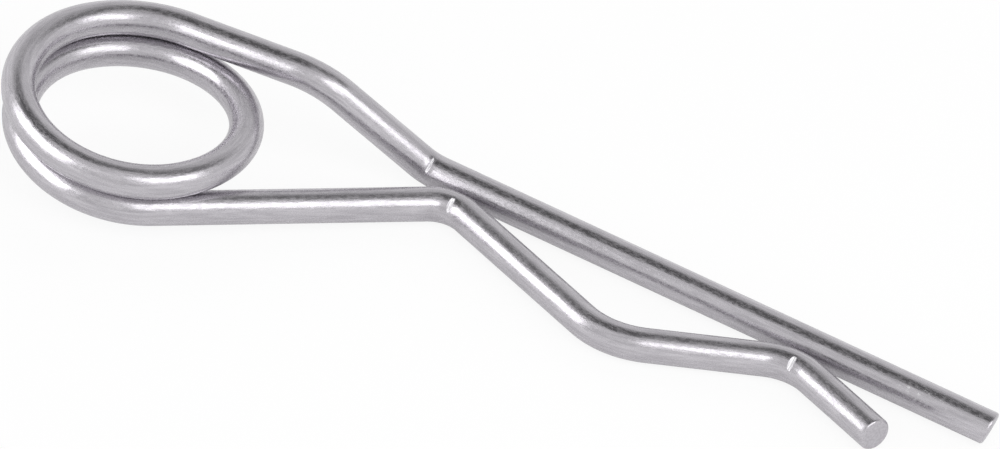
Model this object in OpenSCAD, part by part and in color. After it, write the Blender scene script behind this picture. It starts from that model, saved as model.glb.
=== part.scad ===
// Hitch R clip pin with a double coil, bent from one length of round spring wire.
// The straight leg goes through the cross hole of a bolt or hitch pin, and the wavy leg
// springs round the outside of that bolt. The two legs lie side by side in one plane and
// end in cut tips. The coil joins their other ends.
// The origin is where the axis of the straight leg crosses the axis of the bolt.
// +X runs along the straight leg to its tip, the wavy leg is on the -Y side, and +Z is up.

/* [Wire] */
// Diameter of the wire
wire_d = 4; // [3:0.5:5]
// Amount by which the wire is drawn thinner round a bend, on the radius
bend_thinning = 0.01; // [0.01:0.01:0.05]
// Bevel round the rim of each cut tip
tip_bevel = 0.35; // [0.1:0.05:0.6]
// Angle by which the shears left the straight tip off square, in degrees
shear_angle = 19; // [0:1:25]
// Way that the slant faces, from straight down towards the outer side, in degrees
shear_turn = 30; // [0:5:60]

/* [Coil] */
// Inner diameter of the coil
coil_in_d = 22; // [18:0.5:24]
// Amount by which each half turn is tighter than the one above it, on the radius
coil_taper = 0.25; // [0:0.05:0.4]
// Gap between a turn and the turn below it
coil_gap = 0.1; // [0.1:0.05:0.6]
// Angle of the line on which the half turns meet, from square to the legs, in degrees
coil_turn = 58; // [50:1:64]

/* [Straight leg] */
// Distance from the coil's axis out to the line of the straight leg
leg_offset = 20.3; // [19:0.1:22]
// Distance from the coil's axis to the bolt's axis, along the legs
coil_to_bolt = 60.5; // [58:0.5:70]
// Length of the straight leg past the bolt's axis
tip_reach = 43.6; // [36:0.1:60]
// Distance from the bolt's axis back to the corner where the straight leg begins
leg_start = 32.3; // [30:0.1:34]
// Centreline radius of that corner
leg_bend_r = 4; // [3:0.5:8]
// Distance from the coil's axis to the corner of the top arm, along the legs
arm_corner_x = 15.5; // [14:0.1:17]
// Distance from that corner out to the line of the straight leg
arm_corner_in = 5; // [4:0.1:6]
// Centreline radius of the top arm's corner
arm_bend_r = 10; // [6:0.5:12]

/* [Wavy leg] */
// Gap between the two legs where the wavy leg comes closest
leg_gap = 0.85; // [0.1:0.05:1.2]
// Diameter of the bolt that the clip locks
bolt_d = 22; // [19:0.5:23]
// Clearance between the bolt and the wavy leg, on the radius
bolt_clearance = 0.4; // [0.1:0.1:1]
// Distance from the bolt's axis back to the middle of the first bend
first_bend_x = 25.5; // [24:0.5:28]
// Centreline radius of the first bend
first_bend_r = 4.5; // [3:0.5:6]
// Centreline radius of the bend at the middle of the bulge
bulge_bend_r = 9.5; // [5:0.5:12]
// Distance from the bolt's axis on to the middle of the last bend
last_bend_x = 20.3; // [19:0.1:24]
// Centreline radius of the last bend
last_bend_r = 7; // [3:0.5:8]
// Length of the flare from the corner of the last bend to the tip
flare_len = 15.5; // [10:0.5:20]
// Angle between the flare and the straight leg, in degrees
flare_angle = 21.5; // [15:0.5:30]

/* [Tool marks] */
// Depth of the mark that the bending tool pressed into each sharp bend
nick_depth = 0.25; // [0.1:0.05:0.4]
// Radius of the tool's edge
nick_r = 0.4; // [0.3:0.05:1]
// Place of each mark round the wire, from the top towards the wavy side, in degrees
nick_side = 42; // [20:2:60]
// Distance of the wavy leg's marks past the middle of their bends, towards the flare
nick_past = 0.7; // [0:0.1:1.5]

/* [Hidden] */
$fn = 96;
wire_r = wire_d / 2;
up = [0, 0, 1];
// Length by which a straight length of wire runs on inside the bend at its end
lap = 0.1;

// Coil: radius of each half turn seen from above, top one first, and its centre's offset
// along the line on which the half turns meet
coil_axis = [-coil_to_bolt, -leg_offset];
coil_r = (coil_in_d + wire_d) / 2;
turn_r = [coil_r + coil_taper, coil_r, coil_r - coil_taper];
turn_y = [0, turn_r[1] - turn_r[0], 2 * turn_r[1] - turn_r[0] - turn_r[2]];
// The top and bottom half turns slope down by one turn each, and the middle one is level
turn_fall = wire_d + coil_gap;
slope = [atan(turn_fall / 2 / turn_r[0]), 0, atan(turn_fall / 2 / turn_r[2])];
// Radius of each half turn in its own sloping plane
ring_r = [for (i = [0:2]) turn_r[i] / cos(slope[i])];

// Straight leg: its tip, the way that its cut faces, and the corner where it begins
straight_tip = [tip_reach, 0, 0];
slant = [0, sin(shear_turn), -cos(shear_turn)];
straight_face = [cos(shear_angle), 0, 0] + sin(shear_angle) * slant;
leg_corner = [-leg_start, 0, 0];

// Wavy leg: it passes the coil, the first bend's pin, the bolt and the last bend's pin,
// each on the other side from the one before, in straight lines that are their tangents
legs_apart = wire_d + leg_gap;
bolt_axis = [0, 0];
bolt_reach = bolt_d / 2 + bolt_clearance + wire_r;
first_pin = [-first_bend_x, -legs_apart - first_bend_r];
last_pin = [last_bend_x, -legs_apart - last_bend_r];
// Heading of the line between two circles. It keeps the first on its left if side is 1.
function heading(p, p_r, q, q_r, side) =
    atan2(q.y - p.y, q.x - p.x) + side * asin((p_r + q_r) / norm(q - p));
arm_heading = heading(coil_axis, turn_r[2], first_pin, first_bend_r, 1);
side_in = heading(first_pin, first_bend_r, bolt_axis, bolt_reach, -1);
side_out = heading(bolt_axis, bolt_reach, last_pin, last_bend_r, 1);
flare_heading = -flare_angle;
// Corner where lines of headings a and b meet, both tangents to the circle of radius r
// round p. They have it on their right, or on their left if r is negative.
function corner(p, r, a, b) =
    p + r / cos((b - a) / 2) * [-sin((a + b) / 2), cos((a + b) / 2)];
first_xy = corner(first_pin, first_bend_r, arm_heading, side_in);
bulge_xy = corner(bolt_axis, -bolt_reach, side_in, side_out);
last_xy = corner(last_pin, last_bend_r, side_out, flare_heading);
flare_xy = last_xy + flare_len * [cos(flare_heading), sin(flare_heading)];
function level(p) = [p.x, p.y, 0];

// The coil's own frame: its axis at the origin, and the half turns meeting on its Y axis
function into_coil(p) =
    let (q = [p.x, p.y] - coil_axis)
    [q.x * cos(coil_turn) + q.y * sin(coil_turn), q.y * cos(coil_turn) - q.x * sin(coil_turn)];
function out_of_coil(q) = [
    coil_axis.x + q.x * cos(coil_turn) - q.y * sin(coil_turn),
    coil_axis.y + q.x * sin(coil_turn) + q.y * cos(coil_turn),
    q.z
];

// Heights: the bottom half turn's plane runs on down the lower arm to the first bend
first_in_coil = into_coil(first_xy);
bottom_z = (turn_y[2] - first_in_coil.y) * tan(slope[2]);
turn_z = [bottom_z + turn_fall, bottom_z + turn_fall / 2, bottom_z];
arm_z = turn_z[0] + turn_fall / 2;

// Top arm: level, and a tangent to the level arc that leads it into the coil
arm_corner = [arm_corner_x - coil_to_bolt, -arm_corner_in, arm_z];
lead_y = turn_r[0] - ring_r[0];
arm_in_lead = into_coil(arm_corner) - [0, lead_y];
arm_angle = atan2(arm_in_lead.y, arm_in_lead.x) + acos(ring_r[0] / norm(arm_in_lead));
arm_end = out_of_coil([ring_r[0] * cos(arm_angle), lead_y + ring_r[0] * sin(arm_angle), arm_z]);

// Lower arm: a tangent to the bottom half turn, in that half turn's plane
lower_in_ring = [first_in_coil.x, (first_in_coil.y - turn_y[2]) / cos(slope[2])];
lower_angle = 360 + atan2(lower_in_ring.y, lower_in_ring.x) - acos(ring_r[2] / norm(lower_in_ring));
lower_end = out_of_coil([
    ring_r[2] * cos(lower_angle),
    turn_y[2] + turn_r[2] * sin(lower_angle),
    turn_z[2] + turn_r[2] * sin(lower_angle) * tan(slope[2])
]);

// Routes of the two legs, from their tips to the coil, and the radius at each corner
function unit(v) = v / norm(v);
straight_route = [straight_tip, leg_corner, arm_corner, arm_end];
straight_bends = [leg_bend_r, arm_bend_r];
wavy_route = [level(flare_xy), level(last_xy), level(bulge_xy), level(first_xy), lower_end];
wavy_bends = [last_bend_r, bulge_bend_r, first_bend_r];
flare_face = unit(wavy_route[0] - wavy_route[1]);

// Angle through which the wire turns at corner b, and how far its bend reaches each side
function turn_angle(a, b, c) = 180 - acos(unit(a - b) * unit(c - b));
function bend_reach(a, b, c, r) = r * tan(turn_angle(a, b, c) / 2);
// Distance from point i of a route to where the straight length beside it ends. A tip has
// some wire to spare for the shears.
function straight_end(route, bends, i) =
    i == 0 ? -wire_d :
    i == len(route) - 1 ? -lap :
    bend_reach(route[i - 1], route[i], route[i + 1], bends[i - 1]) - lap;

// Places children with their origin at o, their X axis along x and their Z axis along z
module placed(o, x, z) {
    y = cross(z, x);
    multmatrix([
        [x.x, y.x, z.x, o.x],
        [x.y, y.y, z.y, o.y],
        [x.z, y.z, z.z, o.z]
    ])
        children();
}

// Straight length of wire from a to b
module rod(a, b) {
    along = unit(b - a);
    placed(a, unit(cross(along, up)), along)
        cylinder(h = norm(b - a), r = wire_r);
}

// Arc of wire of centreline radius r, which starts on the X axis
module arc(r, angle) {
    rotate_extrude(angle = angle)
        translate([r, 0])
            circle(r = wire_r - bend_thinning);
}

// Bend of the wire round the corner b, on its way from a to c
module bend(a, b, c, r) {
    start = b + unit(a - b) * bend_reach(a, b, c, r);
    inward = unit(unit(a - b) + unit(c - b));
    centre = b + inward * r / cos(turn_angle(a, b, c) / 2);
    outward = unit(start - centre);
    placed(centre, outward, unit(cross(outward, b - a)))
        arc(r, turn_angle(a, b, c));
}

// Wire along a route, with a bend at each corner between its ends
module wire(route, bends) {
    for (i = [1:len(route) - 1]) {
        along = unit(route[i] - route[i - 1]);
        rod(
            route[i - 1] + along * straight_end(route, bends, i - 1),
            route[i] - along * straight_end(route, bends, i)
        );
    }
    for (i = [1:len(route) - 2])
        bend(route[i - 1], route[i], route[i + 1], bends[i - 1]);
}

// Part of half turn i between two angles in the coil's own frame, and the short straight
// length that joins it to the arc before it
module half_turn(i, from, to) {
    translate([0, turn_y[i], turn_z[i]])
        rotate([slope[i], 0, 0])
            rotate(from) {
                arc(ring_r[i], to - from);
                translate([ring_r[i], 0, 0])
                    rotate([90, 0, 0])
                        cylinder(h = 2 * lap, r = wire_r, center = true);
            }
}

// Coil: a level arc in from the top arm, then three half turns down to the lower arm
module coil() {
    translate([coil_axis.x, coil_axis.y, 0])
        rotate(coil_turn) {
            translate([0, lead_y, arm_z])
                rotate(arm_angle)
                    arc(ring_r[0], 90 - arm_angle);
            half_turn(0, 90, 270);
            half_turn(1, -90, 90);
            half_turn(2, 90, lower_angle);
        }
}

// What the shears and the bevel take off a tip whose cut faces along face. The bevel's
// cone starts outside the wire, and meets its surface one bevel back from the cut.
module tip_cut(tip, face, slant_angle) {
    rim_r = wire_r / cos(slant_angle);
    back = 2 * tip_bevel;
    placed(tip - face * back, unit(cross(face, up)), face)
        difference() {
            cylinder(h = back + 2 * wire_d, r = wire_d);
            cylinder(h = back, r1 = rim_r + tip_bevel, r2 = rim_r - tip_bevel);
        }
}

// Cross mark that the tool's edge pressed into the wire at the corner b, or a distance
// before it, on the way from a to c
module nick(a, b, c, r, before) {
    along = unit(unit(b - a) + unit(c - b));
    inward = unit(unit(a - b) + unit(c - b));
    middle = b + inward * r * (1 / cos(turn_angle(a, b, c) / 2) - 1) - along * before;
    top = unit(up - along * (up * along));
    side = cross(top, along);
    wavy_side = side * (side.y < 0 ? 1 : -1);
    outward = cos(nick_side) * top + sin(nick_side) * wavy_side;
    placed(middle + outward * (wire_r + nick_r - nick_depth), outward, cross(outward, along))
        cylinder(h = wire_d, r = nick_r, center = true);
}

module clip() {
    color("silver")
        difference() {
            union() {
                coil();
                wire(straight_route, straight_bends);
                wire(wavy_route, wavy_bends);
            }
            tip_cut(straight_tip, straight_face, shear_angle);
            tip_cut(wavy_route[0], flare_face, 0);
            nick(straight_tip, leg_corner, arm_corner, leg_bend_r, 0);
            nick(wavy_route[0], wavy_route[1], wavy_route[2], last_bend_r, nick_past);
            nick(wavy_route[2], wavy_route[3], wavy_route[4], first_bend_r, nick_past);
        }
}

clip();
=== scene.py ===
import math

import bpy
import numpy as np
from mathutils import Matrix, Vector


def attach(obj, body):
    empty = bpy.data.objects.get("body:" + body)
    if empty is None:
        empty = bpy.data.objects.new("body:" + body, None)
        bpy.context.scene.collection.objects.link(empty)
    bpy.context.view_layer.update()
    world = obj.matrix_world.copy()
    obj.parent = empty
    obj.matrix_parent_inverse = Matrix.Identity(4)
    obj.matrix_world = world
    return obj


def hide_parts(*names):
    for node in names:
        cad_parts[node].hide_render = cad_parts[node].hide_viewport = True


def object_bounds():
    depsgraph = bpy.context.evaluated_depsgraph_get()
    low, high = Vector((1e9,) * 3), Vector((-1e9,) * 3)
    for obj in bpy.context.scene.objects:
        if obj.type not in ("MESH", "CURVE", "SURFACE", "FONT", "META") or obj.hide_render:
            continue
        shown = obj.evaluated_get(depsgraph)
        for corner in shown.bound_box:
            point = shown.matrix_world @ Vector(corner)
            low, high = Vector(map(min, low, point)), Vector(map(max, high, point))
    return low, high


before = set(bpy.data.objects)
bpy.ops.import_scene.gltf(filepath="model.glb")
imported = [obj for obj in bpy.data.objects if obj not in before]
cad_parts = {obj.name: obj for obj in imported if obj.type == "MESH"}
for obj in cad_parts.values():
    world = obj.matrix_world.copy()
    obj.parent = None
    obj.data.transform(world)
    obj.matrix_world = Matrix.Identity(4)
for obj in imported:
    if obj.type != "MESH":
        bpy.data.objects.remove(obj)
cad_low, cad_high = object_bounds()


# --- Clip ---------------------------------------------------------------------------
# One length of round steel spring wire, bent cold on pins, wound round a mandrel for the
# coil, and cut by shears at both ends. It was tumbled, which rounded the rims, and then
# plated with bright zinc. The bending tool left a cross mark in each of the sharp bends.

# Sizes of the wire's run, in millimetres, from the straight leg's tip to the flare's
wire_r = 2.0
coil_in_d = 22.0
coil_taper = 0.25
coil_gap = 0.1
coil_turn = math.radians(58)
leg_offset = 20.3
coil_to_bolt = 60.5
tip_reach = 43.6
leg_start = 32.3
leg_bend_r = 4.0
arm_corner_x = 15.5
arm_corner_in = 5.0
arm_bend_r = 10.0
leg_gap = 0.85
bolt_d = 22.0
bolt_clearance = 0.4
first_bend_x = 25.5
first_bend_r = 4.5
bulge_bend_r = 9.5
last_bend_x = 20.3
last_bend_r = 7.0
flare_len = 15.5
flare_angle = math.radians(21.5)
quarter = math.pi / 2


def point(*xyz):
    return np.array(xyz, float)


def unit(v):
    return v / np.linalg.norm(v)


# The coil's three half turns, top one first: radius, and its centre's offset along the
# line on which they meet. The top and bottom ones slope down by one turn each.
coil_axis = point(-coil_to_bolt, -leg_offset)
coil_r = coil_in_d / 2 + wire_r
turn_r = [coil_r + coil_taper, coil_r, coil_r - coil_taper]
turn_y = [0, turn_r[1] - turn_r[0], 2 * turn_r[1] - turn_r[0] - turn_r[2]]
turn_fall = 2 * wire_r + coil_gap
slope = [math.atan(turn_fall / 2 / turn_r[0]), 0, math.atan(turn_fall / 2 / turn_r[2])]
ring_r = [turn_r[i] / math.cos(slope[i]) for i in range(3)]

# The wavy leg runs past the coil, the first bend's pin, the bolt and the last bend's pin
legs_apart = 2 * wire_r + leg_gap
bolt_axis = point(0, 0)
bolt_reach = bolt_d / 2 + bolt_clearance + wire_r
first_pin = point(-first_bend_x, -legs_apart - first_bend_r)
last_pin = point(last_bend_x, -legs_apart - last_bend_r)


def heading(p, p_r, q, q_r, side):
    """Heading of the straight line that runs off circle p and on to circle q."""
    across = math.asin((p_r + q_r) / np.linalg.norm(q - p))
    return math.atan2(q[1] - p[1], q[0] - p[0]) + side * across


def corner(p, r, a, b):
    """Where the lines of headings a and b meet, both tangents to circle p."""
    middle = (a + b) / 2
    return p + r / math.cos((b - a) / 2) * point(-math.sin(middle), math.cos(middle))


arm_heading = heading(coil_axis, turn_r[2], first_pin, first_bend_r, 1)
side_in = heading(first_pin, first_bend_r, bolt_axis, bolt_reach, -1)
side_out = heading(bolt_axis, bolt_reach, last_pin, last_bend_r, 1)
first_xy = corner(first_pin, first_bend_r, arm_heading, side_in)
bulge_xy = corner(bolt_axis, -bolt_reach, side_in, side_out)
last_xy = corner(last_pin, last_bend_r, side_out, -flare_angle)
flare_xy = last_xy + flare_len * point(math.cos(flare_angle), -math.sin(flare_angle))


def into_coil(p):
    """A place seen from above, in the coil's own axes."""
    q = p[:2] - coil_axis
    c, s = math.cos(coil_turn), math.sin(coil_turn)
    return point(q[0] * c + q[1] * s, q[1] * c - q[0] * s)


def out_of_coil(x, y, z):
    """A place in the coil's own axes, in the clip's."""
    c, s = math.cos(coil_turn), math.sin(coil_turn)
    return point(coil_axis[0] + x * c - y * s, coil_axis[1] + x * s + y * c, z)


# Heights: the bottom half turn's plane runs on down the lower arm to the first bend
first_in_coil = into_coil(first_xy)
bottom_z = (turn_y[2] - first_in_coil[1]) * math.tan(slope[2])
turn_z = [bottom_z + turn_fall, bottom_z + turn_fall / 2, bottom_z]
arm_z = turn_z[0] + turn_fall / 2

# Angles at which the two arms leave the coil, as its tangents
arm_corner = point(arm_corner_x - coil_to_bolt, -arm_corner_in, arm_z)
lead_y = turn_r[0] - ring_r[0]
arm_in_lead = into_coil(arm_corner) - point(0, lead_y)
arm_angle = math.atan2(arm_in_lead[1], arm_in_lead[0]) + math.acos(
    ring_r[0] / np.linalg.norm(arm_in_lead)
)
lower_in_ring = point(
    first_in_coil[0], (first_in_coil[1] - turn_y[2]) / math.cos(slope[2])
)
lower_angle = (
    2 * math.pi
    + math.atan2(lower_in_ring[1], lower_in_ring[0])
    - math.acos(ring_r[2] / np.linalg.norm(lower_in_ring))
)


def on_lead(a):
    """Place on the level arc that leads the top arm into the coil."""
    r = ring_r[0]
    return out_of_coil(r * math.cos(a), lead_y + r * math.sin(a), arm_z)


def on_turn(i, a):
    """Place on one of the coil's half turns."""
    rise = ring_r[i] * math.sin(a)
    return out_of_coil(
        ring_r[i] * math.cos(a),
        turn_y[i] + rise * math.cos(slope[i]),
        turn_z[i] + rise * math.sin(slope[i]),
    )


run_step = 0.05


def turning(place, start, end):
    """Points along part of the coil, from one angle to the other."""
    count = int(abs(end - start) * coil_r / run_step)
    return [place(a) for a in np.linspace(start, end, count)[1:]]


def bend(a, b, c, r):
    """Points round the corner b, on the way from a to c."""
    back, on = unit(a - b), unit(c - b)
    turn = math.pi - math.acos(float(back @ on))
    start = b + back * r * math.tan(turn / 2)
    centre = b + unit(back + on) * r / math.cos(turn / 2)
    out = unit(start - centre)
    return [
        centre + r * (math.cos(t) * out - math.sin(t) * back)
        for t in np.linspace(0, turn, int(r * turn / run_step) + 2)
    ]


def in_leg_plane(p):
    """The same place seen from above, in the plane of the two legs."""
    return point(p[0], p[1], 0)


straight_tip = point(tip_reach, 0, 0)
leg_corner = point(-leg_start, 0, 0)
wavy_route = [on_turn(2, lower_angle)]
wavy_route += [in_leg_plane(p) for p in (first_xy, bulge_xy, last_xy, flare_xy)]
run = [straight_tip]
run += bend(straight_tip, leg_corner, arm_corner, leg_bend_r)
run += bend(leg_corner, arm_corner, on_lead(arm_angle), arm_bend_r)
run += turning(on_lead, arm_angle, quarter)
run += turning(lambda a: on_turn(0, a), quarter, 3 * quarter)
run += turning(lambda a: on_turn(1, a), -quarter, quarter)
run += turning(lambda a: on_turn(2, a), quarter, lower_angle)
for i, r in enumerate([first_bend_r, bulge_bend_r, last_bend_r]):
    run += bend(*wavy_route[i : i + 3], r)
run.append(wavy_route[-1])
run = np.array(run)
run_s = np.r_[0, np.cumsum(np.linalg.norm(np.diff(run, axis=0), axis=1))]
wire_len = run_s[-1]

# Sizes of the skin: its rings along the wire, the round rims, the straight tip's cut off
# square, and the tool's marks, which carry a painted highlight from a share of their depth
# on
MM = 0.001
sides = 80
ring_gap = 0.3
tip_gap = 0.15
fine_gap = 0.08
rim_rings = 7
rim_round = 0.35
shear_angle = math.radians(19)
shear_turn = math.radians(30)
shear_fade = 2.5
shear_curve = 1.5
nick_depth = 0.25
nick_r = 0.4
nick_side = math.radians(42)
nick_width = 1.0
nick_past = 0.7
nick_span = 1.2
nick_bright_from = 0.25


def nearest_s(p):
    """How far along the wire the place nearest to p lies."""
    return run_s[np.argmin(np.linalg.norm(run - p, axis=1))]


nick_s = [nearest_s(leg_corner)]
nick_s += [nearest_s(in_leg_plane(p)) + nick_past for p in (first_xy, last_xy)]
rim_s = rim_round * (1 - np.cos(np.linspace(0, quarter, rim_rings)))
ring_s = np.r_[rim_s, np.arange(rim_round + fine_gap, shear_fade, tip_gap)]
ring_s = np.r_[ring_s, np.arange(shear_fade, wire_len - rim_round - fine_gap, ring_gap)]
for mark_s in nick_s:
    ring_s = ring_s[abs(ring_s - mark_s) > nick_span + fine_gap / 2]
    ring_s = np.r_[ring_s, np.arange(mark_s - nick_span, mark_s + nick_span, fine_gap)]
ring_s = np.sort(np.r_[ring_s, wire_len - rim_s])
rings = len(ring_s)


def on_run(s):
    """Place on the wire's centreline, that far along it."""
    return np.stack([np.interp(s, run_s, run[:, i]) for i in range(3)], axis=-1)


# Each ring's middle, and the way outward from it at each of its points
centre = on_run(ring_s)
ahead = on_run(np.minimum(ring_s + run_step, wire_len))
ahead -= on_run(np.maximum(ring_s - run_step, 0))
along = ahead / np.linalg.norm(ahead, axis=1)[:, None]
up = point(0, 0, 1)
top = up - along * (along @ up)[:, None]
top /= np.linalg.norm(top, axis=1)[:, None]
beside = np.cross(along, top)
round_angle = np.linspace(0, 2 * math.pi, sides, endpoint=False)
c, s = np.cos(round_angle)[None, :, None], np.sin(round_angle)[None, :, None]
outward = c * top[:, None] + s * beside[:, None]

# The rims are round, and the tool's edge pressed a groove across each sharp bend
to_tip = np.minimum(ring_s, wire_len - ring_s)
rounded = np.clip(rim_round - to_tip, 0, rim_round)
rim_in = rim_round - np.sqrt(rim_round**2 - rounded**2)
radius = np.repeat((wire_r - rim_in)[:, None], sides, axis=1)
pressed = np.zeros_like(radius)
for mark_s in nick_s:
    i = np.argmin(abs(ring_s - mark_s))
    wavy_side = 1 if beside[i, 1] < 0 else -1
    turned = round_angle - wavy_side * nick_side
    turned = (turned + math.pi) % (2 * math.pi) - math.pi
    off = (ring_s - mark_s)[:, None]
    edge_in = np.sqrt(np.clip(nick_r**2 - off**2, 0, None))
    groove_floor = wire_r + nick_r - nick_depth - edge_in
    in_groove = (abs(off) < nick_r) & (abs(turned) < nick_width)[None, :]
    facing = np.cos(np.clip(turned, -nick_width, nick_width))[None, :]
    cut = np.clip(radius - groove_floor / facing, 0, None) * in_groove
    radius = radius - cut
    pressed = np.maximum(pressed, np.clip(cut / nick_depth / nick_bright_from, 0, 1))

# The shears left the straight tip off square
skin = centre[:, None] + outward * radius[:, :, None]
slant = point(0, math.sin(shear_turn), -math.cos(shear_turn)) * math.tan(shear_angle)
fade = np.clip(1 - ring_s / shear_fade, 0, 1) ** shear_curve
skin[:, :, 0] -= fade[:, None] * ((skin - centre[:, None]) @ slant)

# Place in the wire as it was drawn: two ways across it, and the way along it
across_wire = np.broadcast_to(np.concatenate([c, s], 2), (rings, sides, 2))
along_wire = np.broadcast_to(ring_s[:, None, None], (rings, sides, 1))
drawn = np.concatenate([radius[:, :, None] * across_wire, along_wire], axis=2)

# Each cut face closes in shrinking rings, to a point in its middle
shrink = [0.93, 0.8, 0.6, 0.4, 0.2]
verts, coords = [skin.reshape(-1, 3)], [drawn.reshape(-1, 3)]
cut_mask, nick_mask = [np.zeros(rings * sides)], [pressed.ravel()]
for end in (0, rings - 1):
    rim = skin[end]
    middle = rim.mean(axis=0)
    for k in shrink:
        verts.append(middle + (rim - middle) * k)
        coords.append(drawn[end] * point(k, k, 1))
    verts.append(middle[None])
    coords.append(point(0, 0, ring_s[end])[None])
    count = len(shrink) * sides + 1
    cut_mask.append(np.ones(count))
    nick_mask.append(np.zeros(count))
verts, coords = np.concatenate(verts), np.concatenate(coords)
cut_mask, nick_mask = np.concatenate(cut_mask), np.concatenate(nick_mask)

faces = []


def band(first, second):
    """Faces between two rings, given the number of each one's first point."""
    for j in range(sides):
        k = (j + 1) % sides
        faces.append((first + j, second + j, second + k, first + k))


for i in range(rings - 1):
    band(i * sides, (i + 1) * sides)
cap_start = rings * sides
for end in (0, rings - 1):
    before = end * sides
    for i in range(len(shrink)):
        inner = cap_start + i * sides
        if end:
            band(before, inner)
        else:
            band(inner, before)
        before = inner
    tip = cap_start + len(shrink) * sides
    for j in range(sides):
        a, b = before + j, before + (j + 1) % sides
        faces.append((tip, b, a) if end else (tip, a, b))
    cap_start = tip + 1

mesh = bpy.data.meshes.new("clip_wire")
mesh.from_pydata((verts * MM).tolist(), [], faces)
mesh.update()
mesh.polygons.foreach_set("use_smooth", [True] * len(mesh.polygons))
for name, kind, values in (
    ("drawn", "FLOAT_VECTOR", coords),
    ("sheared", "FLOAT", cut_mask),
    ("pressed", "FLOAT", nick_mask),
):
    attribute = mesh.attributes.new(name, kind, "POINT")
    attribute.data.foreach_set("vector" if values.ndim == 2 else "value", values.ravel())
clip = bpy.data.objects.new("clip_wire", mesh)
bpy.context.scene.collection.objects.link(clip)

# The finish. A grain's size is how often it changes in a millimetre, two ways across the
# wire and then along it, and its span is the part of its noise that shows.
zinc_dark = (0.485, 0.467, 0.498, 1)
zinc_light = (0.6, 0.58, 0.613, 1)
# Whiter colour: the scuffs' real wear, and a painted highlight on the tool's marks
scuff_and_highlight_colour = (0.8, 0.79, 0.81, 1)
metal_share = 0.96
streak_size = (3.4, 3.4, 0.28)
grain_size = (4.5, 4.5, 1.5)
spot_size = (3.6, 3.6, 1.5)
fleck_size = (2.6, 2.6, 1.6)
streak_span, spot_span, fleck_span = (0.35, 0.65), (0.42, 0.6), (0.56, 0.64)
bright_rough, dull_rough, worked_rough = 0.2, 0.34, 0.45
relief = 0.000012
scuff_s = 8.5
scuff_turn = math.radians(-42)
scuff_squash = 0.3
scuff_edge, scuff_core = 1.3, 0.6


def fresh_tree(owner):
    """The emptied node tree of a material or of the world."""
    owner.use_nodes = True
    owner.node_tree.nodes.clear()
    return owner.node_tree


def add(tree, kind, settings=None, **inputs):
    """A shader node with its settings, and its inputs as values or as links."""
    made = tree.nodes.new(kind)
    for name, value in (settings or {}).items():
        setattr(made, name, value)
    for name, value in inputs.items():
        socket = made.inputs[int(name[1:]) if name[0] == "_" else name.replace("_", " ")]
        if isinstance(value, bpy.types.NodeSocket):
            tree.links.new(value, socket)
        else:
            socket.default_value = value
    return made


def worked_out(tree, operation, first, second):
    """Result of a sum on two numbers."""
    return add(
        tree, "ShaderNodeMath", {"operation": operation}, _0=first, _1=second
    ).outputs[0]


def ranged(tree, value, start, end, at_start=0.0, at_end=1.0, curve="LINEAR"):
    """A level that goes from at_start to at_end, as the value goes from start to end."""
    return add(
        tree,
        "ShaderNodeMapRange",
        {"interpolation_type": curve},
        Value=value,
        _1=start,
        _2=end,
        _3=at_start,
        _4=at_end,
    ).outputs[0]


def blended(tree, share, first, second):
    """A colour between two others."""
    return add(
        tree, "ShaderNodeMix", {"data_type": "RGBA"}, _0=share, _6=first, _7=second
    ).outputs[2]


def scaled(tree, place, size):
    """A place, stretched by a size of its own each way."""
    return add(
        tree, "ShaderNodeVectorMath", {"operation": "MULTIPLY"}, _0=place, _1=size
    ).outputs[0]


def grainy(tree, place, size, detail=3.0, roughness=0.6):
    """Noise whose grain has a size of its own each way."""
    return add(
        tree,
        "ShaderNodeTexNoise",
        Vector=scaled(tree, place, size),
        Scale=1.0,
        Detail=detail,
        Roughness=roughness,
    ).outputs[0]


zinc = bpy.data.materials.new("bright_zinc")
tree = fresh_tree(zinc)
place = add(tree, "ShaderNodeAttribute", {"attribute_name": "drawn"}).outputs["Vector"]
cut_face = add(tree, "ShaderNodeAttribute", {"attribute_name": "sheared"}).outputs["Fac"]
nicked = add(tree, "ShaderNodeAttribute", {"attribute_name": "pressed"}).outputs["Fac"]

# Drawing streaks, long and fine, and the plating's own short grain
streaks = grainy(tree, place, streak_size)
grain = grainy(tree, place, grain_size, detail=2.0)
colour = blended(tree, ranged(tree, streaks, *streak_span), zinc_dark, zinc_light)

# Light flecks, where the straight leg's tip rubbed on the way in and out of its hole
scuff_xy = wire_r * math.cos(scuff_turn), wire_r * math.sin(scuff_turn)
from_scuffs = add(
    tree,
    "ShaderNodeVectorMath",
    {"operation": "DISTANCE"},
    _0=scaled(tree, place, (1, 1, scuff_squash)),
    _1=(*scuff_xy, scuff_s * scuff_squash),
).outputs["Value"]
near_scuffs = ranged(tree, from_scuffs, scuff_edge, scuff_core)
flecks = ranged(tree, grainy(tree, place, fleck_size, roughness=0.7), *fleck_span)
scuffed = worked_out(tree, "MULTIPLY", near_scuffs, flecks)

# The bending tool's marks carry a painted highlight, a whiter colour which the scuffs'
# real wear shares, and the shears left a matt face. Elsewhere the plating has duller
# spots.
scuffs_and_nick_highlight = worked_out(tree, "MAXIMUM", nicked, scuffed)
worked = worked_out(tree, "MAXIMUM", scuffs_and_nick_highlight, cut_face)
spots = grainy(tree, place, spot_size)
plating_rough = ranged(tree, spots, *spot_span, bright_rough, dull_rough)
rough = add(tree, "ShaderNodeMix", _0=worked, _2=plating_rough, _3=worked_rough)
height = worked_out(tree, "ADD", streaks, grain)
bump = add(tree, "ShaderNodeBump", Strength=1.0, Distance=relief, Height=height)
zinc_shader = add(
    tree,
    "ShaderNodeBsdfPrincipled",
    Base_Color=blended(tree, scuffs_and_nick_highlight, colour, scuff_and_highlight_colour),
    Metallic=metal_share,
    Roughness=rough.outputs[0],
    Normal=bump.outputs[0],
)
add(tree, "ShaderNodeOutputMaterial", Surface=zinc_shader.outputs[0])
mesh.materials.append(zinc)

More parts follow.
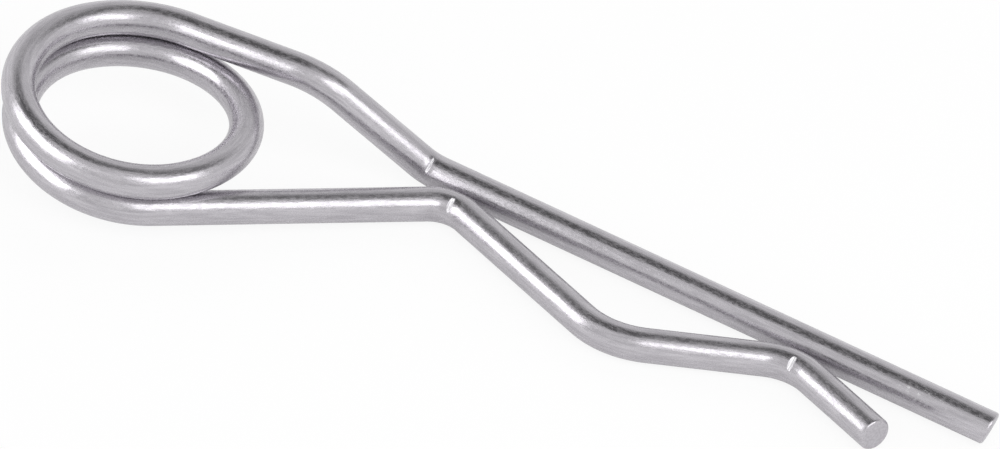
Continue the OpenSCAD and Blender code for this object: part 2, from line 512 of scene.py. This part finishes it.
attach(clip, "root")
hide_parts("clip")


# --- Floor --------------------------------------------------------------------------
# A plain white table top, larger than the lamps' reach, at the height of the legs' lower
# side. Part of its white is even, as on a lit table, and the rest keeps the clip's shadow.

floor_half = 3.0
floor_white = (0.92, 0.92, 0.92, 1)
even_share_to_camera, even_share_in_metal = 0.88, 0.35
even_level_to_camera, even_level_in_metal = 1.0, 0.8

floor_mesh = bpy.data.meshes.new("floor")
floor_corners = [(-1, -1), (1, -1), (1, 1), (-1, 1)]
floor_mesh.from_pydata(
    [(x * floor_half, y * floor_half, cad_low.z) for x, y in floor_corners],
    [],
    [(0, 1, 2, 3)],
)
floor = bpy.data.objects.new("floor", floor_mesh)
bpy.context.scene.collection.objects.link(floor)

white = bpy.data.materials.new("white_table")
tree = fresh_tree(white)
path = add(tree, "ShaderNodeLightPath").outputs
to_camera = path["Is Camera Ray"]
in_metal = worked_out(tree, "MAXIMUM", path["Is Glossy Ray"], path["Is Transmission Ray"])
share_in_metal = worked_out(tree, "MULTIPLY", in_metal, even_share_in_metal)
even_share = ranged(tree, to_camera, 0, 1, share_in_metal, even_share_to_camera)
even_level = ranged(tree, to_camera, 0, 1, even_level_in_metal, even_level_to_camera)
matt = add(tree, "ShaderNodeBsdfDiffuse", Color=floor_white)
even = add(tree, "ShaderNodeEmission", Color=(1, 1, 1, 1), Strength=even_level)
table_top = add(
    tree, "ShaderNodeMixShader", _0=even_share, _1=matt.outputs[0], _2=even.outputs[0]
)
add(tree, "ShaderNodeOutputMaterial", Surface=table_top.outputs[0])
floor_mesh.materials.append(white)


# --- Studio -------------------------------------------------------------------------
# A white room, brighter low down, with a dark ceiling and a dim corner behind the clip.
# Two soft boxes stand close to the clip, left and right of the camera. The left one shows
# only in the metal, and a white card hides it from the straight leg.

room_level, room_level_in_metal = 1.12, 0.76
lit_middle = Vector((-0.016, -0.016, 0))
card_top = 0.2


def way(azimuth, elevation):
    """Direction from the clip towards a place in the room."""
    a, e = math.radians(azimuth), math.radians(elevation)
    return Vector((math.cos(a) * math.cos(e), math.sin(a) * math.cos(e), math.sin(e)))


world = bpy.data.worlds.new("studio")
bpy.context.scene.world = world
tree = fresh_tree(world)
sky = add(tree, "ShaderNodeTexCoord").outputs["Generated"]


def around(azimuth, elevation, edge, core, outside, inside):
    """Brightness round one place in the room: outside its edge, and inside its core."""
    facing = add(
        tree,
        "ShaderNodeVectorMath",
        {"operation": "DOT_PRODUCT"},
        _0=sky,
        _1=way(azimuth, elevation),
    ).outputs["Value"]
    start, end = math.cos(math.radians(edge)), math.cos(math.radians(core))
    return ranged(tree, facing, start, end, outside, inside, "SMOOTHSTEP")


ceiling = around(163, 70, edge=37, core=7, outside=1, inside=0.1)
dim_corner = around(50, 61, edge=24, core=9, outside=1, inside=0.28)
low_down = around(0, 90, edge=90, core=60, outside=1.25, inside=1)
dimmed = worked_out(tree, "MULTIPLY", ceiling, dim_corner)
room = worked_out(tree, "MULTIPLY", dimmed, low_down)
in_metal = add(tree, "ShaderNodeLightPath").outputs["Is Glossy Ray"]
level = ranged(tree, in_metal, 0, 1, room_level, room_level_in_metal)
strength = worked_out(tree, "MULTIPLY", room, level)
back = add(tree, "ShaderNodeBackground", Color=(1, 1, 1, 1), Strength=strength)
add(tree, "ShaderNodeOutputWorld", Surface=back.outputs[0])

for name, azimuth, elevation, distance, width, height, radiance, on_floor in (
    ("left_box", -137, 26, 0.27, 0.24, 0.17, 2.45, False),
    ("right_box", -24, 45, 0.49, 0.48, 0.27, 1.55, True),
):
    lamp = bpy.data.lights.new(name, "AREA")
    lamp.shape = "RECTANGLE"
    lamp.size = width
    lamp.size_y = height
    lamp.energy = radiance * math.pi * width * height
    box = bpy.data.objects.new(name, lamp)
    bpy.context.scene.collection.objects.link(box)
    box.location = lit_middle + way(azimuth, elevation) * distance
    box.rotation_euler = (-way(azimuth, elevation)).to_track_quat("-Z", "Y").to_euler()
    box.visible_camera = False
    box.visible_diffuse = on_floor

# The card has a panel, and a wing on its left whose lower edge steps up
panel = [
    (0.008, -0.088, 0),
    (0.008, -0.088, card_top),
    (-0.061, -0.068, card_top),
    (-0.061, -0.068, 0.045),
    (-0.061, -0.068, 0),
]
wing = [
    (-0.067, -0.0663, 0.045),
    (-0.071, -0.0652, 0.078),
    (-0.1, -0.057, 0.085),
    (-0.1, -0.057, card_top),
]
card_mesh = bpy.data.meshes.new("card")
card_mesh.from_pydata(panel + wing, [], [(0, 1, 2, 3, 4), (2, 3, 5, 6, 7, 8)])
card = bpy.data.objects.new("card", card_mesh)
bpy.context.scene.collection.objects.link(card)
card_white = bpy.data.materials.new("card_white")
tree = fresh_tree(card_white)
glow = add(tree, "ShaderNodeEmission", Color=(1, 1, 1, 1), Strength=room_level_in_metal)
add(tree, "ShaderNodeOutputMaterial", Surface=glow.outputs[0])
card_mesh.materials.append(card_white)
card.visible_camera = False
card.visible_diffuse = False
card.visible_shadow = False


# --- Camera -------------------------------------------------------------------------
# A long lens, which keeps the far end of the clip as large as the near one. It looks from
# the right front, well above the clip, and is rolled by a few degrees.

camera_azimuth = math.radians(27.705)
camera_elevation = math.radians(35.541)
camera_roll = math.radians(7.922)
camera_aim = Vector((-0.02019, -0.00382, 0))
camera_distance = 2.28634

camera = bpy.data.objects.new("camera", bpy.data.cameras.new("camera"))
bpy.context.scene.collection.objects.link(camera)
bpy.context.scene.camera = camera
camera.data.lens = 720
camera.data.sensor_width = 36
camera.data.clip_end = 20
towards = Vector(
    (
        math.sin(camera_azimuth) * math.cos(camera_elevation),
        -math.cos(camera_azimuth) * math.cos(camera_elevation),
        math.sin(camera_elevation),
    )
)
camera.location = camera_aim + towards * camera_distance
facing_clip = (-towards).to_track_quat("-Z", "Y").to_matrix().to_4x4()
rolled = Matrix.Rotation(camera_roll, 4, towards) @ facing_clip
camera.rotation_mode = "QUATERNION"
camera.rotation_quaternion = rolled.to_quaternion()

bpy.context.scene.view_settings.view_transform = "Standard"
